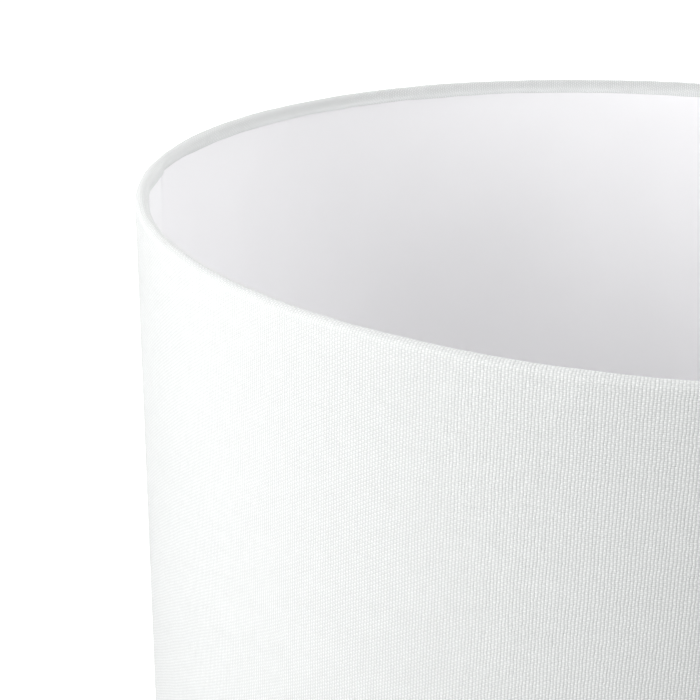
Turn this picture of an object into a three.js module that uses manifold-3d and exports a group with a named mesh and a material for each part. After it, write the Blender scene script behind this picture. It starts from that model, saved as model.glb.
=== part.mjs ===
// Drum lamp shade: cloth laminated to a plastic liner, rolled over two ring wires,
// and carried by three spokes on a fitter ring near the bottom.
// Millimetres, +Z up. The origin is on the shade's axis, level with its lowest edge.

import * as THREE from 'three';
import { mergeVertices } from 'three/addons/utils/BufferGeometryUtils.js';
import Module from 'manifold-3d';

// ---- Driving dimensions ----

const shadeDiameter = 330;
const shadeHeight = 250;

const clothThickness = 0.4;
const linerThickness = 0.4;
const tapeThickness = 0.2;
const tapeWidth = 8;
const seamOverlap = 12;
const seamStepLength = 3;

const ringWireDiameter = 2.5;
const hemDrop = 1.6;

const fitterHoleDiameter = 42;
const fitterBandWidth = 9;
const fitterThickness = 1.5;
const fitterEdgeRadius = 0.4;
const fitterHeight = 40;

const spokeDiameter = 2.5;
const spokeCount = 3;
const spokeEndLead = 5;
const spokeBendLength = 6;
const spokeEndInset = 2;

// Clearances: between glued sheets, and between pieces that are welded, wrapped or tucked.
const glueGap = 0.2;
const fitGap = 0.3;

// Azimuths are measured from +X towards +Y. The sheet runs clockwise from its under flap.
const seamAzimuth = THREE.MathUtils.degToRad(191);
const firstSpokeAzimuth = THREE.MathUtils.degToRad(90);

// Facets. Every coaxial piece uses the same facets round the axis, so the gaps stay even.
const facetsRound = 72;
const wireSides = 8;
const hemTurnSteps = 6;
const hemTuckSteps = 3;
const fitterEdgeSteps = 2;
const spokeSides = 8;
const spokeSteps = 26;

// ---- Sizes worked out from the driving dimensions ----

const shadeRadius = shadeDiameter / 2;
const wireRadius = ringWireDiameter / 2;
const spokeRadius = spokeDiameter / 2;

// The cloth round a ring wire: the radius of its inner and outer face.
const hemInnerRadius = wireRadius + fitGap;
const hemOuterRadius = hemInnerRadius + clothThickness;

const ringRadius = shadeRadius - hemOuterRadius;
const bottomRingHeight = hemOuterRadius;
const topRingHeight = shadeHeight - hemOuterRadius;

const linerOuterRadius = shadeRadius - clothThickness - glueGap;
const linerInnerRadius = linerOuterRadius - linerThickness;
const linerBottom = bottomRingHeight + hemInnerRadius;
const linerTop = topRingHeight - hemInnerRadius;

// The tucked end of the cloth stops just short of the liner.
const tuckReach = linerInnerRadius - fitGap - ringRadius;
const tuckAngle = 2 * Math.PI - Math.acos(tuckReach / hemOuterRadius);

// The clipped end of the liner keeps clear of the whole rolled hem.
const hemHeight = 2 * hemOuterRadius + hemDrop;
const underFlapMargin = hemHeight + fitGap;

// The seam: the under flap steps in by one liner, one tape and the glue between them.
const underFlapStep = linerThickness + tapeThickness + 2 * glueGap;
const facetAngle = 2 * Math.PI / facetsRound;
const overlapAngle = seamOverlap / linerOuterRadius;
const underFlapAngle = overlapAngle + fitGap / linerOuterRadius;
const seamEndAngle = underFlapAngle + seamStepLength / linerOuterRadius;

const fitterInnerRadius = fitterHoleDiameter / 2;
const fitterOuterRadius = fitterInnerRadius + fitterBandWidth;
const spokeTopHeight = fitterHeight - fitGap - spokeRadius;

// ---- Helpers ----

function arcPoints(centreX, centreY, radius, start, end, steps) {
  const points = [];
  for (let i = 0; i <= steps; i += 1) {
    const angle = THREE.MathUtils.lerp(start, end, i / steps);
    const x = centreX + radius * Math.cos(angle);
    const y = centreY + radius * Math.sin(angle);
    points.push(new THREE.Vector2(x, y));
  }
  return points;
}

// Turns a closed outline in the plane of the axis (x = radius, y = height) round +Z.
function turnedAboutAxis(outline) {
  const closed = [...outline, outline[0].clone()];
  const geometry = new THREE.LatheGeometry(closed, facetsRound, seamAzimuth + Math.PI / 2);
  geometry.rotateX(Math.PI / 2);
  return geometry;
}

// A point on the facet, not on the true circle, at an angle counted clockwise from the seam.
function pointOnFacet(radius, angle) {
  const pastCorner = THREE.MathUtils.euclideanModulo(angle, facetAngle);
  const chordRadius = radius * Math.cos(facetAngle / 2) / Math.cos(pastCorner - facetAngle / 2);
  const azimuth = seamAzimuth - angle;
  return new THREE.Vector2(chordRadius * Math.cos(azimuth), chordRadius * Math.sin(azimuth));
}

function extrudedUp(outline, bottom, top) {
  const geometry = new THREE.ExtrudeGeometry(new THREE.Shape(outline), {
    depth: top - bottom,
    bevelEnabled: false,
  });
  geometry.translate(0, 0, bottom);
  return geometry;
}

const wasm = await Module();
wasm.setup();

function solidFrom(geometry) {
  const bare = geometry.clone();
  bare.deleteAttribute('normal');
  bare.deleteAttribute('uv');
  const welded = mergeVertices(bare);
  return new wasm.Manifold(new wasm.Mesh({
    numProp: 3,
    vertProperties: welded.attributes.position.array,
    triVerts: new Uint32Array(welded.index.array),
  }));
}

function geometryFrom(solid) {
  const mesh = solid.getMesh();
  const geometry = new THREE.BufferGeometry();
  geometry.setAttribute('position', new THREE.BufferAttribute(mesh.vertProperties, 3));
  geometry.setIndex(new THREE.BufferAttribute(mesh.triVerts, 1));
  geometry.computeVertexNormals();
  return geometry;
}

function cutAway(geometry, cutters) {
  let solid = solidFrom(geometry);
  for (const cutter of cutters) {
    solid = solid.subtract(solidFrom(cutter));
  }
  return geometryFrom(solid);
}

function spokeAzimuth(index) {
  return firstSpokeAzimuth + index * 2 * Math.PI / spokeCount;
}

// ---- Materials ----

const clothMaterial = new THREE.MeshStandardMaterial({
  color: 0xf3f4f2,
  roughness: 0.95,
  metalness: 0,
});
const linerMaterial = new THREE.MeshStandardMaterial({
  color: 0xf1f1f3,
  roughness: 0.5,
  metalness: 0,
});
const tapeMaterial = new THREE.MeshStandardMaterial({
  color: 0xe6e2d4,
  roughness: 0.4,
  metalness: 0,
});
const wireMaterial = new THREE.MeshStandardMaterial({
  color: 0xeeeeec,
  roughness: 0.45,
  metalness: 0,
});

// ---- Sub-parts ----

// One face of the cloth, from its tucked end at the bottom to its tucked end at the top.
function clothFace(radius) {
  const top = [
    ...arcPoints(ringRadius, topRingHeight, radius, 0, Math.PI, hemTurnSteps),
    ...arcPoints(ringRadius, topRingHeight - hemDrop, radius, Math.PI, tuckAngle, hemTuckSteps),
  ];
  const bottom = top.map((point) => new THREE.Vector2(point.x, shadeHeight - point.y));
  return [...bottom.reverse(), ...top];
}

// The slit in the bottom hem that lets a spoke through to the ring wire.
function spokeSlit(index) {
  const inner = ringRadius - hemOuterRadius - fitGap;
  const outer = shadeRadius - clothThickness - 2 * fitGap;
  const bottom = bottomRingHeight - spokeRadius - fitGap;
  const top = hemHeight + fitGap;
  const width = spokeDiameter + 2 * fitGap;
  const slit = new THREE.BoxGeometry(outer - inner, width, top - bottom);
  slit.translate((outer + inner) / 2, 0, (top + bottom) / 2);
  slit.rotateZ(spokeAzimuth(index));
  return slit;
}

function makeFabricCover() {
  const outline = [...clothFace(hemOuterRadius), ...clothFace(hemInnerRadius).reverse()];
  const slits = [];
  for (let index = 0; index < spokeCount; index += 1) {
    slits.push(spokeSlit(index));
  }
  return cutAway(turnedAboutAxis(outline), slits);
}

// How far the liner is stepped in at an angle counted from the end of its under flap.
function linerStations() {
  const stations = [
    { angle: 0, step: underFlapStep },
    { angle: underFlapAngle, step: underFlapStep },
    { angle: seamEndAngle, step: 0 },
  ];
  for (let facet = 1; facet <= facetsRound; facet += 1) {
    if (facet * facetAngle > seamEndAngle) {
      stations.push({ angle: facet * facetAngle, step: 0 });
    }
  }
  stations.push({ angle: 2 * Math.PI + overlapAngle, step: 0 });
  return stations;
}

// Removes the under flap and its step over one end, where the hem needs the room.
function underFlapClip(bottom, top) {
  const betweenFlaps = linerInnerRadius - (underFlapStep - linerThickness) / 2;
  const inside = linerInnerRadius - underFlapStep - fitGap;
  const outside = shadeRadius;
  const start = -fitGap / linerOuterRadius;
  const flapEnd = (overlapAngle + underFlapAngle) / 2;
  const outline = [
    pointOnFacet(inside, start),
    pointOnFacet(inside, 0),
    pointOnFacet(inside, seamEndAngle),
    pointOnFacet(outside, seamEndAngle),
    pointOnFacet(outside, flapEnd),
    pointOnFacet(betweenFlaps, flapEnd),
    pointOnFacet(betweenFlaps, 0),
    pointOnFacet(betweenFlaps, start),
  ];
  return extrudedUp(outline, bottom, top);
}

function makeLiner() {
  const stations = linerStations();
  const outer = stations.map(({ angle, step }) => pointOnFacet(linerOuterRadius - step, angle));
  const inner = stations.map(({ angle, step }) => pointOnFacet(linerInnerRadius - step, angle));
  const sheet = extrudedUp([...outer, ...inner.reverse()], linerBottom, linerTop);
  return cutAway(sheet, [
    underFlapClip(linerBottom - fitGap, underFlapMargin),
    underFlapClip(shadeHeight - underFlapMargin, linerTop + fitGap),
  ]);
}

function makeSeamTape() {
  const middle = overlapAngle / 2;
  const halfWidth = tapeWidth / 2 / linerOuterRadius;
  const outerRadius = linerInnerRadius - glueGap;
  const innerRadius = outerRadius - tapeThickness;
  const outline = [
    pointOnFacet(innerRadius, middle - halfWidth),
    pointOnFacet(outerRadius, middle - halfWidth),
    pointOnFacet(outerRadius, middle + halfWidth),
    pointOnFacet(innerRadius, middle + halfWidth),
  ];
  return extrudedUp(outline, underFlapMargin, shadeHeight - underFlapMargin);
}

function makeRingWire(height) {
  const section = arcPoints(ringRadius, height, wireRadius, 0, 2 * Math.PI, wireSides);
  return turnedAboutAxis(section.slice(0, -1));
}

// A path through the points in which every inner corner is a smooth bend.
function bentPath(points, bendLength) {
  const path = new THREE.CurvePath();
  let from = points[0];
  for (let i = 1; i < points.length - 1; i += 1) {
    const corner = points[i];
    const towardsLast = points[i - 1].clone().sub(corner).setLength(bendLength / 2);
    const towardsNext = points[i + 1].clone().sub(corner).setLength(bendLength / 2);
    const bendStart = corner.clone().add(towardsLast);
    const bendEnd = corner.clone().add(towardsNext);
    path.add(new THREE.LineCurve3(from, bendStart));
    path.add(new THREE.QuadraticBezierCurve3(bendStart, corner, bendEnd));
    from = bendEnd;
  }
  path.add(new THREE.LineCurve3(from, points[points.length - 1]));
  return path;
}

// A spoke along +X: out of the ring wire, up at a slant, and flat under the fitter ring.
function makeSpoke() {
  const outerEnd = ringRadius - wireRadius - fitGap;
  const lowBend = outerEnd - hemOuterRadius - spokeEndLead;
  const highBend = fitterOuterRadius + spokeEndLead;
  const innerEnd = fitterInnerRadius + spokeEndInset;
  const points = [
    new THREE.Vector3(outerEnd, 0, bottomRingHeight),
    new THREE.Vector3(lowBend, 0, bottomRingHeight),
    new THREE.Vector3(highBend, 0, spokeTopHeight),
    new THREE.Vector3(innerEnd, 0, spokeTopHeight),
  ];
  const section = arcPoints(0, 0, spokeRadius, 0, 2 * Math.PI, spokeSides);
  return new THREE.ExtrudeGeometry(new THREE.Shape(section.slice(0, -1)), {
    steps: spokeSteps,
    extrudePath: bentPath(points, spokeBendLength),
    bevelEnabled: false,
  });
}

function makeFitterRing() {
  const inner = fitterInnerRadius + fitterEdgeRadius;
  const outer = fitterOuterRadius - fitterEdgeRadius;
  const bottom = fitterHeight + fitterEdgeRadius;
  const top = fitterHeight + fitterThickness - fitterEdgeRadius;
  const quarter = Math.PI / 2;
  const corners = [[outer, bottom, 3], [outer, top, 0], [inner, top, 1], [inner, bottom, 2]];
  const outline = corners.flatMap(([x, y, turn]) => arcPoints(
    x, y, fitterEdgeRadius, turn * quarter, (turn + 1) * quarter, fitterEdgeSteps,
  ));
  return turnedAboutAxis(outline);
}

// ---- Assembly ----

function named(name, geometry, material) {
  const mesh = new THREE.Mesh(geometry, material);
  mesh.name = name;
  return mesh;
}

const lampShade = new THREE.Group();
lampShade.name = 'lamp_shade';

lampShade.add(named('fabric_cover', makeFabricCover(), clothMaterial));
lampShade.add(named('liner', makeLiner(), linerMaterial));
lampShade.add(named('seam_tape', makeSeamTape(), tapeMaterial));
lampShade.add(named('top_ring', makeRingWire(topRingHeight), wireMaterial));
lampShade.add(named('bottom_ring', makeRingWire(bottomRingHeight), wireMaterial));
lampShade.add(named('fitter_ring', makeFitterRing(), wireMaterial));

for (let index = 0; index < spokeCount; index += 1) {
  const spoke = named(`spoke_${index + 1}`, makeSpoke(), wireMaterial);
  spoke.rotation.z = spokeAzimuth(index);
  lampShade.add(spoke);
}

export default lampShade;
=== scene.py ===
import math

import bpy
import numpy as np
from mathutils import Matrix, Vector


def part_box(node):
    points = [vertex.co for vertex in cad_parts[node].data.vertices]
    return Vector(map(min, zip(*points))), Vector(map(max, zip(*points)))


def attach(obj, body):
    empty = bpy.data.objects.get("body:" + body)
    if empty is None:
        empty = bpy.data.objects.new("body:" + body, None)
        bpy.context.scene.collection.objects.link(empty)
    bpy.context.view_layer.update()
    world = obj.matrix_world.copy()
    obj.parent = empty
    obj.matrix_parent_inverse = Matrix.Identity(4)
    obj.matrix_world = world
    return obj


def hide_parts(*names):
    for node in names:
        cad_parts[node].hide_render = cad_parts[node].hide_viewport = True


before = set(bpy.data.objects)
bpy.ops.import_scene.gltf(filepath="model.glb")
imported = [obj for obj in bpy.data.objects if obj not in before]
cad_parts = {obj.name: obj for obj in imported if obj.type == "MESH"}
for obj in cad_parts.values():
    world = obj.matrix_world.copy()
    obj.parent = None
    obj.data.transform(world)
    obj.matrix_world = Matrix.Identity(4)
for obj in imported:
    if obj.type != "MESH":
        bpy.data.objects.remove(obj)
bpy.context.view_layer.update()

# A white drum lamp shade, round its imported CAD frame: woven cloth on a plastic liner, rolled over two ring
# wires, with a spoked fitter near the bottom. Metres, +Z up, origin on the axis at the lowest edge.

MM = 0.001
FULL_TURN = 2 * math.pi


# ---- Sizes read from the frame ----


def node_points(node):
    return np.array([v.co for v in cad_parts[node].data.vertices], float).reshape(-1, 3)


def node_radii(node):
    """Least and greatest distance of a node's corners from the shade's axis."""
    points = node_points(node)
    distance = np.hypot(points[:, 0], points[:, 1])
    return float(distance.min()), float(distance.max())


def node_azimuth(node):
    centre = node_points(node).mean(axis=0)
    return math.atan2(centre[1], centre[0])


SHADE_RADIUS = node_radii("fabric_cover")[1]
SHADE_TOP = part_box("fabric_cover")[1].z
RING_INNER, RING_OUTER = node_radii("top_ring")
WIRE_RADIUS = (RING_OUTER - RING_INNER) / 2
RING_RADIUS = (RING_OUTER + RING_INNER) / 2
HEM_RADIUS = SHADE_RADIUS - RING_RADIUS
SEAM_AZIMUTH = node_azimuth("seam_tape")
LINER_OUTER = node_radii("liner")[1]
LINER_LOW, LINER_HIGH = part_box("liner")[0].z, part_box("liner")[1].z
SPOKES = ("spoke_1", "spoke_2", "spoke_3")
# The first spoke lies along +Y, so its width across X is its diameter.
SPOKE_RADIUS = (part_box(SPOKES[0])[1].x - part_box(SPOKES[0])[0].x) / 2
FITTER_HOLE, FITTER_EDGE = node_radii("fitter_ring")
FITTER_LOW, FITTER_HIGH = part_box("fitter_ring")[0].z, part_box("fitter_ring")[1].z

# ---- Sizes of what is made here ----

CLOTH_THICKNESS = 0.4 * MM
LINER_THICKNESS = 0.4 * MM
SEAM_OVERLAP = 12 * MM
# At the lap, the under flap steps in by this much and comes back out over this length.
UNDER_STEP = 1.0 * MM
RAMP_START = 0.3 * MM
RAMP_LENGTH = 10 * MM

THREADS_ROUND = 1297
THREAD_ROWS_PER_METRE = 1980


# ---- Camera ----

CAMERA_BACK = 2.794 * SHADE_RADIUS
CAMERA_RISE = 0.720 * SHADE_RADIUS
CAMERA_PITCH = math.radians(21.28)
CAMERA_YAW = math.radians(-12.48)
CAMERA_ROLL = math.radians(-0.723)
CAMERA_LENS = 77.3
CAMERA_SENSOR = 36


def make_camera():
    data = bpy.data.cameras.new("camera")
    data.lens = CAMERA_LENS
    data.sensor_width = CAMERA_SENSOR
    data.clip_start = 0.01
    camera = bpy.data.objects.new("camera", data)
    forward = Vector((
        math.sin(CAMERA_YAW) * math.cos(CAMERA_PITCH),
        math.cos(CAMERA_YAW) * math.cos(CAMERA_PITCH),
        -math.sin(CAMERA_PITCH),
    ))
    level = Vector((math.cos(CAMERA_YAW), -math.sin(CAMERA_YAW), 0))
    down = forward.cross(level)
    right = level * math.cos(CAMERA_ROLL) + down * math.sin(CAMERA_ROLL)
    up = level * math.sin(CAMERA_ROLL) - down * math.cos(CAMERA_ROLL)
    turn = Matrix((right, up, -forward)).transposed().to_4x4()
    place = Vector((0, -CAMERA_BACK, SHADE_TOP + CAMERA_RISE))
    camera.matrix_world = Matrix.Translation(place) @ turn
    bpy.context.scene.collection.objects.link(camera)
    bpy.context.scene.camera = camera


# ---- Shader graph helper ----


class Graph:
    """A material's node tree, with short calls for the nodes that the materials here use."""

    def __init__(self, name):
        self.material = bpy.data.materials.new(name)
        self.material.use_nodes = True
        self.nodes = self.material.node_tree.nodes
        self.links = self.material.node_tree.links
        self.shader = self.nodes["Principled BSDF"]

    def put(self, socket, value):
        if isinstance(value, bpy.types.NodeSocket):
            self.links.new(value, socket)
        elif value is not None:
            socket.default_value = value

    def math(self, operation, first, second=None):
        node = self.nodes.new("ShaderNodeMath")
        node.operation = operation
        self.put(node.inputs[0], first)
        self.put(node.inputs[1], second)
        return node.outputs[0]

    def vector(self, x, y, z=0.0):
        node = self.nodes.new("ShaderNodeCombineXYZ")
        for socket, value in zip(node.inputs, (x, y, z)):
            self.put(socket, value)
        return node.outputs[0]

    def parts(self, vector):
        node = self.nodes.new("ShaderNodeSeparateXYZ")
        self.links.new(vector, node.inputs[0])
        return node.outputs[0], node.outputs[1], node.outputs[2]

    def place(self):
        return self.nodes.new("ShaderNodeTexCoord").outputs["Object"]

    def uv(self):
        return self.nodes.new("ShaderNodeTexCoord").outputs["UV"]

    def noise(self, vector, scale, detail=2.0, roughness=0.5):
        node = self.nodes.new("ShaderNodeTexNoise")
        self.put(node.inputs["Vector"], vector)
        node.inputs["Scale"].default_value = scale
        node.inputs["Detail"].default_value = detail
        node.inputs["Roughness"].default_value = roughness
        return node.outputs["Fac"]

    def random(self, vector):
        node = self.nodes.new("ShaderNodeTexWhiteNoise")
        self.put(node.inputs["Vector"], vector)
        return node.outputs["Value"]

    def ramp(self, value, low, high, to_low, to_high):
        node = self.nodes.new("ShaderNodeMapRange")
        self.put(node.inputs["Value"], value)
        node.inputs["From Min"].default_value = low
        node.inputs["From Max"].default_value = high
        node.inputs["To Min"].default_value = to_low
        node.inputs["To Max"].default_value = to_high
        return node.outputs["Result"]

    def mix(self, factor, first, second):
        node = self.nodes.new("ShaderNodeMix")
        node.data_type = "RGBA"
        self.put(node.inputs["Factor"], factor)
        self.put(node.inputs["A"], first if isinstance(first, bpy.types.NodeSocket) else (*first, 1))
        self.put(node.inputs["B"], second if isinstance(second, bpy.types.NodeSocket) else (*second, 1))
        return node.outputs["Result"]

    def bump(self, height, distance):
        node = self.nodes.new("ShaderNodeBump")
        node.inputs["Strength"].default_value = 1.0
        node.inputs["Distance"].default_value = distance
        self.put(node.inputs["Height"], height)
        return node.outputs["Normal"]

    def set(self, **values):
        for name, value in values.items():
            self.put(self.shader.inputs[name.replace("_", " ")], value)


# ---- Materials ----

CLOTH_CROWN = (0.826, 0.836, 0.832)
CLOTH_WEFT = (0.760, 0.772, 0.768)
# Dark cloth colour: painted shade in the hollows between threads, and also the darker tone of uneven
# threads.
CLOTH_HOLLOW_SHADE_AND_SLUB = (0.565, 0.580, 0.575)
LINER_WHITE = (0.885, 0.881, 0.894)
LINER_SHADE = (0.855, 0.851, 0.864)
PAINT_WHITE = (0.84, 0.84, 0.83)
PAINT_SHADE = (0.78, 0.78, 0.765)
TAPE_CLEAR = (0.80, 0.77, 0.66)
TAPE_CLOUDY = (0.72, 0.69, 0.58)
FLOOR_PALE = (0.93, 0.93, 0.93)
FLOOR_GREY = (0.91, 0.91, 0.91)
CLOTH_RELIEF = 0.145 * MM
LINER_RELIEF = 0.3 * MM
PAINT_RELIEF = 0.06 * MM
TAPE_RELIEF = 0.03 * MM


def woven_cloth():
    """Plain weave in thread counts: warp threads run up the shade, weft threads run round it. The hollows
    between the threads are darkened with painted shade, and uneven threads are darkened a little at random.
    """
    g = Graph("woven_cloth")
    along, up, _ = g.parts(g.uv())
    drift = g.noise(g.uv(), 45.0, 1.0)
    lift = g.noise(g.uv(), 60.0, 1.0)
    shiver = g.noise(g.uv(), 500.0, 2.0)
    columns = g.math("MULTIPLY", along, THREADS_ROUND / (FULL_TURN * SHADE_RADIUS))
    columns = g.math("ADD", columns, g.math("MULTIPLY", drift, 0.7))
    columns = g.math("ADD", columns, g.math("MULTIPLY", shiver, 0.7))
    rows = g.math("MULTIPLY", up, THREAD_ROWS_PER_METRE)
    rows = g.math("ADD", rows, g.math("MULTIPLY", lift, 1.6))

    column_wave = g.math("SINE", g.math("MULTIPLY", columns, math.pi))
    row_wave = g.math("SINE", g.math("MULTIPLY", rows, math.pi))
    warp_round = g.math("POWER", g.math("ABSOLUTE", column_wave), 0.7)
    weft_round = g.math("POWER", g.math("ABSOLUTE", row_wave), 0.7)
    warp_rise = g.math("MULTIPLY", g.math("SIGN", column_wave), row_wave)
    weft_rise = g.math("MULTIPLY", g.math("SIGN", row_wave), column_wave)
    warp = g.math("MULTIPLY", warp_round, g.ramp(warp_rise, -1.0, 1.0, 0.1, 1.0))
    weft = g.math("MULTIPLY", weft_round, g.ramp(weft_rise, -1.0, 1.0, 0.8, 0.0))
    height = g.math("MAXIMUM", warp, weft)

    warp_number = g.math("FLOOR", columns)
    weft_number = g.math("FLOOR", rows)
    warp_thread = g.vector(g.math("MULTIPLY", warp_number, 0.73), g.math("MULTIPLY", rows, 0.06))
    weft_thread = g.vector(g.math("MULTIPLY", columns, 0.04), g.math("MULTIPLY", weft_number, 0.73))
    warp_uneven = g.ramp(g.noise(warp_thread, 1.0, 1.0), 0.3, 0.7, -0.5, 0.5)
    weft_uneven = g.ramp(g.noise(weft_thread, 1.0, 1.0), 0.3, 0.7, -0.5, 0.5)
    uneven = g.math("ADD", warp_uneven, weft_uneven)
    crossing = g.vector(warp_number, weft_number)
    lump = g.random(crossing)
    uneven = g.math("ADD", uneven, g.ramp(lump, 0.0, 1.0, -0.5, 0.5))

    on_top = g.math("GREATER_THAN", warp, weft)
    thread = g.mix(on_top, CLOTH_WEFT, CLOTH_CROWN)
    # Painted shade: where the weave is low, between the threads, the colour is darkened towards the dark
    # cloth colour.
    thread_colour_with_painted_shade = g.mix(g.ramp(height, 0.15, 0.75, 0.0, 1.0), CLOTH_HOLLOW_SHADE_AND_SLUB, thread)
    # Uneven threads are darkened a little at random, the yarn's own tone.
    shade = g.mix(g.ramp(uneven, -1.0, 1.0, 0.0, 0.22), thread_colour_with_painted_shade, CLOTH_HOLLOW_SHADE_AND_SLUB)
    relief = g.math("ADD", height, g.math("MULTIPLY", uneven, 0.25))
    g.set(
        Base_Color=shade,
        Roughness=g.ramp(height, 0.0, 1.0, 0.95, 0.8),
        Specular_IOR_Level=0.25,
        Sheen_Weight=0.15,
        Sheen_Roughness=0.5,
        Normal=g.bump(relief, CLOTH_RELIEF),
    )
    return g.material


def liner_plastic():
    """Smooth white sheet with a faint orange-peel surface and hardly visible clouding."""
    g = Graph("liner_plastic")
    clouds = g.noise(g.place(), 14.0, 3.0)
    grain = g.noise(g.place(), 900.0, 2.0)
    waves = g.noise(g.place(), 60.0, 1.0)
    relief = g.math("ADD", g.math("MULTIPLY", grain, 0.02), g.math("MULTIPLY", waves, 0.25))
    g.set(
        Base_Color=g.mix(g.ramp(clouds, 0.3, 0.7, 0.0, 1.0), LINER_WHITE, LINER_SHADE),
        Roughness=g.ramp(grain, 0.3, 0.7, 0.42, 0.5),
        Specular_IOR_Level=0.35,
        Normal=g.bump(relief, LINER_RELIEF),
    )
    return g.material


def powder_coat():
    """White powder coat: small orange-peel bumps, and slight yellowing in patches."""
    g = Graph("powder_coat")
    peel = g.noise(g.place(), 1400.0, 2.0)
    patches = g.noise(g.place(), 90.0, 3.0)
    g.set(
        Base_Color=g.mix(g.ramp(patches, 0.35, 0.7, 0.0, 1.0), PAINT_WHITE, PAINT_SHADE),
        Roughness=g.ramp(peel, 0.3, 0.7, 0.32, 0.48),
        Normal=g.bump(peel, PAINT_RELIEF),
    )
    return g.material


def sticky_tape():
    """Double-sided tape: cloudy and slightly yellow, with trapped air in streaks."""
    g = Graph("sticky_tape")
    x, y, z = g.parts(g.place())
    streaks = g.noise(g.vector(x, y, g.math("MULTIPLY", z, 0.2)), 700.0, 3.0)
    g.set(
        Base_Color=g.mix(g.ramp(streaks, 0.35, 0.65, 0.0, 1.0), TAPE_CLEAR, TAPE_CLOUDY),
        Roughness=g.ramp(streaks, 0.3, 0.7, 0.25, 0.5),
        Normal=g.bump(streaks, TAPE_RELIEF),
    )
    return g.material


# ---- Mesh helpers ----


def mesh_piece(name, points, faces, material, uvs=None):
    mesh = bpy.data.meshes.new(name)
    mesh.from_pydata([tuple(p) for p in points], [], faces)
    mesh.materials.append(material)
    if uvs is not None:
        layer = mesh.uv_layers.new(name="UVMap")
        corners = np.zeros(len(mesh.loops), np.int32)
        mesh.loops.foreach_get("vertex_index", corners)
        layer.data.foreach_set("uv", np.asarray(uvs, np.float32)[corners].ravel())
    for polygon in mesh.polygons:
        polygon.use_smooth = True
    piece = bpy.data.objects.new(name, mesh)
    bpy.context.scene.collection.objects.link(piece)
    return piece


def grid_faces(columns, rows, left_out=None):
    """Quads of a grid stored column by column, without those that left_out says to skip."""
    faces = []
    for i in range(columns - 1):
        for j in range(rows - 1):
            if left_out is not None and left_out(i, j):
                continue
            a = i * rows + j
            faces.append((a, a + rows, a + rows + 1, a + 1))
    return faces


def thicken(piece, thickness):
    """Gives a sheet its thickness, measured inward from its outer face."""
    solid = piece.modifiers.new("thickness", "SOLIDIFY")
    solid.thickness = thickness
    solid.offset = -1
    solid.use_even_offset = True
    return solid


def arc(centre_r, centre_z, radius, start, end, steps):
    angles = np.linspace(start, end, steps + 1)
    return [(centre_r + radius * math.cos(a), centre_z + radius * math.sin(a)) for a in angles]


def smooth(value):
    t = np.clip(value, 0, 1)
    return t * t * (3 - 2 * t)


# ---- Cloth cover ----

COLUMN_STEP = math.radians(1)
FINE_STEP = math.radians(0.25)
SEAM_FINE_AFTER = math.radians(5)
SEAM_FINE_BEFORE = math.radians(2)
LEAST_STEP = math.radians(0.05)
HEM_STEPS = 16
TUCK_STEPS = 6
WALL_STEPS = 26
# How far from a hem the wall's waves fade out.
HEM_BLEND = 14 * MM
# How far the cloth's start reaches under the end of the outer flap.
COVER_TUCKED_UNDER = 1 * MM
# The hem over the lap is fuller: inward, outward, and how far round it fades.
LAP_BULGE = 0.6 * MM
LAP_RISE = 0.12 * MM
LAP_FADE = 13 * MM
# The cloth's end is folded over the flap's edge: along the shade, and down towards the liner.
FOLD_ARC = [0.25 * MM, 0.45 * MM, 0.55 * MM, 0.58 * MM]
FOLD_DROP = [0.05 * MM, 0.2 * MM, 0.45 * MM, 0.8 * MM]
# Behind the wire the cloth hangs a little lower than the wire's centre, turns this far round it, and then
# slopes out to the liner through these points: out from the ring's radius, and down from the ring's centre.
HEM_DROP = 0.5 * MM
TUCK_TURN = math.radians(234)
TUCK_ENDS = [(-0.4 * MM, 2.32 * MM), (0.25 * MM, 2.8 * MM), (0.44 * MM, 3.08 * MM), (0.5 * MM, 3.65 * MM)]
TUCK_DEPTH = TUCK_ENDS[-1][1]
TUCK_WAVE = 0.2 * MM
# A slit lets each spoke through the bottom hem.
SLIT_HALF_WIDTH = 1.55 * MM
SLIT_BELOW_SPOKE = 0.3 * MM
SLIT_INSIDE_WALL = 1 * MM

OVERLAP_ANGLE = SEAM_OVERLAP / LINER_OUTER
SHEET_START = SEAM_AZIMUTH + OVERLAP_ANGLE / 2


def cover_profile():
    """The cloth's outer face from its tucked end at the bottom, round the ring, up the wall and over the top
    ring: radius, height and length along the cloth, and which hem each row is in (1 top, -1 bottom)."""
    ring_top = SHADE_TOP - HEM_RADIUS
    top = [
        *arc(RING_RADIUS, ring_top, HEM_RADIUS, 0, math.pi, HEM_STEPS),
        *arc(RING_RADIUS, ring_top - HEM_DROP, HEM_RADIUS, math.pi, TUCK_TURN, TUCK_STEPS),
        *[(RING_RADIUS + out, ring_top - down) for out, down in TUCK_ENDS],
    ]
    wall = [(SHADE_RADIUS, z) for z in np.linspace(HEM_RADIUS, ring_top, WALL_STEPS + 1)[1:-1]]
    bottom = [(r, SHADE_TOP - z) for r, z in reversed(top)]
    points = np.array(bottom + wall + top)
    steps = np.linalg.norm(np.diff(points, axis=0), axis=1)
    length = np.concatenate([[0], np.cumsum(steps)])
    kind = np.array([-1] * len(bottom) + [0] * len(wall) + [1] * len(top))
    return points, length, kind


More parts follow.
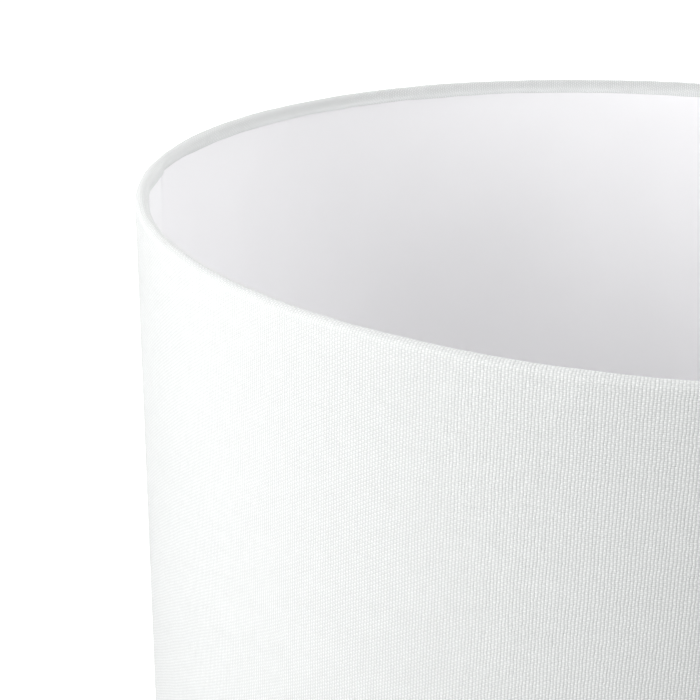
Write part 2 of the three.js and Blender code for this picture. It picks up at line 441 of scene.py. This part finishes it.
def cover_angles():
    """Angles from the start of the sheet, which runs clockwise: one a degree, and closer at the seam and at
    the slits for the spokes. The cloth starts just under the outer flap's end, one turn further on."""
    start = OVERLAP_ANGLE - COVER_TUCKED_UNDER / SHADE_RADIUS
    end = FULL_TURN + OVERLAP_ANGLE
    angles = list(np.arange(COLUMN_STEP, FULL_TURN, COLUMN_STEP))
    angles += list(np.arange(start, start + SEAM_FINE_AFTER, FINE_STEP))
    angles += list(np.arange(FULL_TURN - SEAM_FINE_BEFORE, end, FINE_STEP))
    half = SLIT_HALF_WIDTH / SHADE_RADIUS
    for spoke in SPOKES:
        middle = (SHEET_START - node_azimuth(spoke)) % FULL_TURN
        angles = [a for a in angles if abs(a - middle) > 1.5 * half]
        angles += [middle - half, middle, middle + half]
    angles = sorted(a for a in angles if start < a < end - 2 * LEAST_STEP)
    kept = [start]
    for angle in angles + [end]:
        if angle - kept[-1] > LEAST_STEP:
            kept.append(angle)
    return np.array(kept)


def hem_swell(azimuth, kind):
    """Small lumps along the rolled hems. Those of the bottom hem only go inward, so that it rests flat."""
    lumps = [(9, 0.5, 0.05), (23, 1.7, 0.035), (47, 4.1, 0.03), (83, 2.6, 0.02)]
    if kind > 0:
        return sum(size * MM * math.sin(count * azimuth + phase) for count, phase, size in lumps)
    return -abs(sum(size * MM * math.sin(count * azimuth - 2 * phase) for count, phase, size in lumps))


def wall_wave(azimuth, z):
    """The laminate's slight unevenness, a tenth of a millimetre or less."""
    waves = [(7, 19, 0.04), (13, -31, 0.03), (24, 47, 0.02)]
    return sum(size * MM * math.sin(count * azimuth + slope * z) for count, slope, size in waves)


def tuck_wave(azimuth):
    """How far the tucked end hangs lower or higher than its mean."""
    waves = [(5, 0.4, 0.5), (17, 2.2, 0.3), (41, 5.0, 0.2)]
    return sum(size * TUCK_WAVE * math.sin(count * azimuth + phase) for count, phase, size in waves)


def cover_point(radius, height, kind, angle, drop):
    """Where a point of the plain profile lies on the finished cover."""
    azimuth = SHEET_START - angle
    past_flap = (angle - OVERLAP_ANGLE) * SHADE_RADIUS
    before_lap = (FULL_TURN - angle) * SHADE_RADIUS
    stepped = 1 - smooth((past_flap - RAMP_START) / RAMP_LENGTH)
    lapped = 1 - smooth(before_lap / LAP_FADE)
    if kind == 0:
        to_hem = min(SHADE_TOP - height, height) - 2 * HEM_RADIUS
        near = 1 - smooth(to_hem / HEM_BLEND)
        radius += wall_wave(azimuth, height) - drop
        radius += lapped * LAP_RISE * near - stepped * UNDER_STEP * (1 - near)
    else:
        centre = SHADE_TOP - HEM_RADIUS if kind > 0 else HEM_RADIUS
        inward = np.clip((RING_RADIUS - radius) / HEM_RADIUS, 0, 1)
        bulge = LAP_BULGE * inward ** 2 + (LAP_RISE if kind > 0 else 0)
        grown = 1 + (hem_swell(azimuth, kind) + lapped * bulge - drop) / HEM_RADIUS
        hangs = kind * (centre - height) / HEM_RADIUS
        radius = RING_RADIUS + (radius - RING_RADIUS) * grown
        height = centre + (height - centre) * grown
        height -= kind * tuck_wave(azimuth) * np.clip(hangs, 0, 1)
    return radius * math.cos(azimuth), radius * math.sin(azimuth), float(height)


def make_cover(material):
    profile, length, kind = cover_profile()
    angles = cover_angles()
    drops = np.concatenate([np.zeros(len(angles)), FOLD_DROP])
    angles = np.concatenate([angles, angles[-1] + np.array(FOLD_ARC) / SHADE_RADIUS])
    points, uvs = [], []
    for angle, drop in zip(angles[::-1], drops[::-1]):
        for (radius, height), row_length, row_kind in zip(profile, length, kind):
            points.append(cover_point(radius, height, row_kind, angle, drop))
            uvs.append((-angle * SHADE_RADIUS, row_length))
    slits = slit_columns(angles[::-1])
    tucked = slit_rows(profile, kind)
    faces = grid_faces(len(angles), len(profile), lambda i, j: i in slits and j in tucked)
    cover = mesh_piece("cloth_cover", points, faces, material, uvs)
    thicken(cover, CLOTH_THICKNESS)
    cut_width = float((angles[-1] - angles[0]) * SHADE_RADIUS)
    return cover, (cut_width, float(length[-1]))


def slit_columns(angles):
    """Columns that a spoke passes through."""
    found = set()
    half = SLIT_HALF_WIDTH / SHADE_RADIUS
    for spoke in SPOKES:
        middle = (SHEET_START - node_azimuth(spoke)) % FULL_TURN
        for i in range(len(angles) - 1):
            if abs((angles[i] + angles[i + 1]) / 2 - middle) < half:
                found.add(i)
    return found


def slit_rows(profile, kind):
    """Rows of the bottom hem from its tucked end down to just under the spoke."""
    slit_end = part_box(SPOKES[0])[0].z - SLIT_BELOW_SPOKE
    found = set()
    for j in range(len(profile) - 1):
        r, z = (profile[j] + profile[j + 1]) / 2
        on_inside = r < RING_RADIUS and z > slit_end
        over_ring = RING_RADIUS <= r < SHADE_RADIUS - SLIT_INSIDE_WALL and z > HEM_RADIUS
        if kind[j] == -1 and (on_inside or over_ring):
            found.add(j)
    return found


# ---- Liner ----

CLIP_GAP = 0.3 * MM
LINER_STEPS = 13
LAP_STEPS = 7
RAMP_STEPS = 12
PLAIN_FROM = math.radians(9)


def make_liner(material):
    """The plastic sheet: its under flap is clipped short of both hems, and its outer flap lies over it."""
    clip = HEM_RADIUS + TUCK_DEPTH + CLIP_GAP
    heights = [LINER_LOW, *np.linspace(clip, SHADE_TOP - clip, LINER_STEPS + 1), LINER_HIGH]
    start_of_ramp = OVERLAP_ANGLE + RAMP_START / SHADE_RADIUS
    end_of_ramp = start_of_ramp + RAMP_LENGTH / SHADE_RADIUS
    angles = [
        *np.linspace(0, start_of_ramp, LAP_STEPS + 1),
        *np.linspace(start_of_ramp, end_of_ramp, RAMP_STEPS + 1)[1:],
        *np.arange(PLAIN_FROM, FULL_TURN + OVERLAP_ANGLE - 0.5 * COLUMN_STEP, COLUMN_STEP),
        FULL_TURN + OVERLAP_ANGLE,
    ]
    points, clipped = [], set()
    for i, angle in enumerate(reversed(angles)):
        azimuth = SHEET_START - angle
        stepped = 1 - smooth((angle - start_of_ramp) * SHADE_RADIUS / RAMP_LENGTH)
        if stepped > 0.01:
            clipped.update((i - 1, i))
        for z in heights:
            inset = min(z - LINER_LOW, LINER_HIGH - z) / HEM_BLEND
            radius = LINER_OUTER + wall_wave(azimuth, z) * smooth(inset) - stepped * UNDER_STEP
            points.append((radius * math.cos(azimuth), radius * math.sin(azimuth), z))
    rows = len(heights)
    faces = grid_faces(len(angles), rows, lambda i, j: i in clipped and j in (0, rows - 2))
    liner = mesh_piece("liner_sheet", points, faces, material)
    thicken(liner, LINER_THICKNESS)
    return liner


# ---- Spokes, welds and fitter ----

SPOKE_LEAD = 5 * MM
SPOKE_BEND = 6 * MM
SPOKE_BEND_STEPS = 6
SPOKE_STEP = 3 * MM
SPOKE_SIDES = 16
# How far the visual wire reaches past the CAD spoke, into the weld on the ring.
SPOKE_REACH = 0.3 * MM
# The inner end is pressed flat: from here, over this length, wider and thinner by these shares.
FLAT_FROM = 2 * MM
FLAT_LENGTH = 4 * MM
FLAT_WIDER = 0.35
FLAT_THINNER = 0.3
TIP_LENGTH = 1.2 * MM
TIP_SHARE = 0.55

WELD_SIDES = 18
WELD_LEVELS = 10
OUTER_WELD = (1.1 * MM, 1.9 * MM, 1.6 * MM)
INNER_WELD = (2.6 * MM, 2.7 * MM, 0.8 * MM)
OUTER_WELD_INSET = 0.4 * MM
INNER_WELD_OUT = 1 * MM
INNER_WELD_DROP = 0.5 * MM
INNER_WELD_SEED = 5

FITTER_SIDES = 144
FITTER_SOFT_EDGE = 0.45 * MM
FITTER_CRISP_EDGE = 0.15 * MM


def bent_line(corners, bend):
    """Points along straight runs whose inner corners are rounded."""
    line = [Vector(corners[0])]
    for before, corner, after in zip(corners, corners[1:], corners[2:]):
        corner = Vector(corner)
        start = corner + (Vector(before) - corner).normalized() * bend / 2
        end = corner + (Vector(after) - corner).normalized() * bend / 2
        for k in range(SPOKE_BEND_STEPS + 1):
            t = k / SPOKE_BEND_STEPS
            line.append(start * (1 - t) ** 2 + corner * 2 * t * (1 - t) + end * t * t)
    line.append(Vector(corners[-1]))
    return line


def spaced(line, gap):
    """The same line with extra points, so that none are further apart than gap."""
    out = [line[0]]
    for a, b in zip(line, line[1:]):
        pieces = max(1, math.ceil((b - a).length / gap))
        out += [a.lerp(b, k / pieces) for k in range(1, pieces + 1)]
    return out


def make_spoke(name, material):
    """A wire from the bottom ring to the fitter, its inner end pressed flat where it is welded."""
    low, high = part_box(name)
    inner, outer = node_radii(name)
    low_z, high_z = low.z + SPOKE_RADIUS, high.z - SPOKE_RADIUS
    corners = [
        (outer + SPOKE_REACH, 0, low_z),
        (outer - HEM_RADIUS - SPOKE_LEAD, 0, low_z),
        (FITTER_EDGE + SPOKE_LEAD, 0, high_z),
        (inner, 0, high_z),
    ]
    line = spaced(bent_line(corners, SPOKE_BEND), SPOKE_STEP)
    turn = Matrix.Rotation(node_azimuth(name), 3, "Z")
    side = Vector((0, 1, 0))
    verts, faces = [], []
    for i, point in enumerate(line):
        along = (line[min(i + 1, len(line) - 1)] - line[max(i - 1, 0)]).normalized()
        up = side.cross(along)
        flat = smooth((FITTER_EDGE + FLAT_FROM - point.x) / FLAT_LENGTH)
        tip = TIP_SHARE + (1 - TIP_SHARE) * smooth((point.x - inner) / TIP_LENGTH)
        wide = SPOKE_RADIUS * (1 + FLAT_WIDER * flat) * tip
        tall = SPOKE_RADIUS * (1 - FLAT_THINNER * flat) * tip
        centre = point + up * SPOKE_RADIUS * FLAT_THINNER * flat
        for k in range(SPOKE_SIDES):
            a = FULL_TURN * k / SPOKE_SIDES
            verts.append(turn @ (centre + side * wide * math.cos(a) + up * tall * math.sin(a)))
    for i in range(len(line) - 1):
        for k in range(SPOKE_SIDES):
            a, b = i * SPOKE_SIDES + k, i * SPOKE_SIDES + (k + 1) % SPOKE_SIDES
            faces.append((a, a + SPOKE_SIDES, b + SPOKE_SIDES, b))
    faces.append(tuple(range(SPOKE_SIDES)))
    faces.append(tuple(reversed(range(len(verts) - SPOKE_SIDES, len(verts)))))
    return mesh_piece(f"wire_{name}", verts, faces, material)


def make_weld(name, centre, size, azimuth, seed, material):
    """A weld bead: a low lump with a slightly uneven surface."""
    bumps = np.random.default_rng(seed).uniform(0, FULL_TURN, 3)
    verts = []
    for j in range(WELD_LEVELS + 1):
        tilt = math.pi * j / WELD_LEVELS
        for k in range(WELD_SIDES):
            a = FULL_TURN * k / WELD_SIDES
            grow = 1 + 0.06 * math.sin(3 * a + bumps[0] + 2 * tilt) + 0.05 * math.sin(5 * a + bumps[1])
            grow += 0.05 * math.sin(4 * tilt + bumps[2])
            flat = Vector((
                size[0] * math.sin(tilt) * math.cos(a),
                size[1] * math.sin(tilt) * math.sin(a),
                size[2] * math.cos(tilt),
            ))
            verts.append(flat * grow)
    faces = []
    for j in range(WELD_LEVELS):
        for k in range(WELD_SIDES):
            a, b = j * WELD_SIDES + k, j * WELD_SIDES + (k + 1) % WELD_SIDES
            faces.append((a, a + WELD_SIDES, b + WELD_SIDES, b))
    turn = Matrix.Rotation(azimuth, 3, "Z")
    place = turn @ Vector(centre)
    return mesh_piece(name, [place + turn @ v for v in verts], faces, material)


def make_fitter(material):
    """A stamped washer: its upper edges are rounded by the press and its lower edges are nearly sharp."""
    soft, crisp = FITTER_SOFT_EDGE, FITTER_CRISP_EDGE
    quarter = math.pi / 2
    inner, outer, low, high = FITTER_HOLE, FITTER_EDGE, FITTER_LOW, FITTER_HIGH
    outline = [
        *arc(outer - crisp, low + crisp, crisp, -quarter, 0, 3),
        *arc(outer - soft, high - soft, soft, 0, quarter, 6),
        *arc(inner + soft, high - soft, soft, quarter, 2 * quarter, 6),
        *arc(inner + crisp, low + crisp, crisp, 2 * quarter, 3 * quarter, 3),
    ]
    verts, faces, rows = [], [], len(outline)
    for i in range(FITTER_SIDES):
        a = FULL_TURN * i / FITTER_SIDES
        verts += [(r * math.cos(a), r * math.sin(a), z) for r, z in outline]
        for j in range(rows):
            k = (j + 1) % rows
            n = (i + 1) % FITTER_SIDES
            faces.append((i * rows + j, n * rows + j, n * rows + k, i * rows + k))
    return mesh_piece("fitter_washer", verts, faces, material)


# ---- Stage and lights ----

SWEEP_GLOW = 0.66
SWEEP_SIDES = 96
SWEEP_FLAT = 2.0
SWEEP_RADIUS = 9.0
SWEEP_CURVE = 3.0
SWEEP_HEIGHT = 12.0
# Height of the point that every light faces.
LIGHT_AIM = 0.15
DOME_STRENGTH = 0.166
# Azimuth and elevation in degrees, distance and width in metres, and watts.
SOFTBOXES = {
    "low_key": (223, 15, 0.8, 0.5, 3.95),
    "left_low": (180, 12, 1.8, 1.0, 10.9),
    "front_low": (290, 12, 1.8, 1.0, 12.6),
    "front_left": (220, 35, 1.8, 1.0, 4.5),
    "right": (20, 35, 1.8, 1.0, 10.8),
    "right_back": (60, 35, 1.8, 1.0, 9.6),
    "back": (100, 35, 1.8, 1.0, 14.7),
    "above": (0, 90, 1.85, 2.0, 6.0),
    "below": (0, -90, 0.75, 0.2, 3.27),
}


def make_floor():
    """A pale round sweep: a floor whose far edge curves up into a wall. It is only a background that takes
    shadows, and it throws no light back at the shade."""
    g = Graph("pale_floor")
    grain = g.noise(g.place(), 30.0, 3.0)
    g.set(
        Base_Color=g.mix(grain, FLOOR_PALE, FLOOR_GREY),
        Roughness=0.9,
        Emission_Color=(1, 1, 1, 1),
        Emission_Strength=SWEEP_GLOW,
    )
    g.material.cycles.emission_sampling = "NONE"
    outline = [
        (0, 0),
        (SWEEP_FLAT, 0),
        *arc(SWEEP_RADIUS - SWEEP_CURVE, SWEEP_CURVE, SWEEP_CURVE, -math.pi / 2, 0, 12),
        (SWEEP_RADIUS, SWEEP_HEIGHT),
    ]
    points = []
    for i in range(SWEEP_SIDES + 1):
        azimuth = FULL_TURN * i / SWEEP_SIDES
        points += [(r * math.cos(azimuth), r * math.sin(azimuth), z) for r, z in outline]
    floor = mesh_piece("floor", points, grid_faces(SWEEP_SIDES + 1, len(outline)), g.material)
    floor.visible_diffuse = False
    floor.visible_shadow = False


def make_light(name, azimuth, elevation, distance, size, power):
    """A square softbox that faces the middle of the shade. Azimuths run from +X towards +Y, in degrees."""
    data = bpy.data.lights.new(name, "AREA")
    data.shape = "SQUARE"
    data.size = size
    data.energy = power
    light = bpy.data.objects.new(name, data)
    across = math.cos(math.radians(elevation))
    towards = Vector((
        across * math.cos(math.radians(azimuth)),
        across * math.sin(math.radians(azimuth)),
        math.sin(math.radians(elevation)),
    ))
    light.location = Vector((0, 0, LIGHT_AIM)) + distance * towards
    light.rotation_mode = "QUATERNION"
    light.rotation_quaternion = towards.to_track_quat("Z", "Y")
    light.visible_camera = False
    bpy.context.scene.collection.objects.link(light)


def make_lights():
    world = bpy.data.worlds.new("studio")
    world.use_nodes = True
    background = world.node_tree.nodes["Background"]
    background.inputs["Color"].default_value = (1, 1, 1, 1)
    background.inputs["Strength"].default_value = DOME_STRENGTH
    bpy.context.scene.world = world
    for name, settings in SOFTBOXES.items():
        make_light(name, *settings)
    bpy.context.scene.view_settings.view_transform = "Standard"


# ---- Assembly ----


def on_root(piece, slot, *nodes):
    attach(piece, "root")
    if nodes:
        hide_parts(*nodes)


def repaint(node, material):
    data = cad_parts[node].data
    data.materials.clear()
    data.materials.append(material)


make_camera()

cloth = woven_cloth()
plastic = liner_plastic()
paint = powder_coat()

cover, cut_size = make_cover(cloth)
on_root(cover, "cloth", "fabric_cover")
on_root(make_liner(plastic), "liner", "liner")
on_root(make_fitter(paint), "fitter", "fitter_ring")

for number, spoke in enumerate(SPOKES):
    azimuth = node_azimuth(spoke)
    on_root(make_spoke(spoke, paint), "wire", spoke)
    outer_place = (RING_RADIUS - WIRE_RADIUS - OUTER_WELD_INSET, 0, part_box(spoke)[0].z + SPOKE_RADIUS)
    outer_name = f"outer_weld_{number + 1}"
    on_root(make_weld(outer_name, outer_place, OUTER_WELD, azimuth, number, paint), "wire")
    inner_place = ((FITTER_HOLE + FITTER_EDGE) / 2 + INNER_WELD_OUT, 0, FITTER_LOW - INNER_WELD_DROP)
    inner_name = f"inner_weld_{number + 1}"
    inner_seed = number + INNER_WELD_SEED
    on_root(make_weld(inner_name, inner_place, INNER_WELD, azimuth, inner_seed, paint), "fitter")

repaint("top_ring", paint)
repaint("bottom_ring", paint)
repaint("seam_tape", sticky_tape())

make_floor()
make_lights()
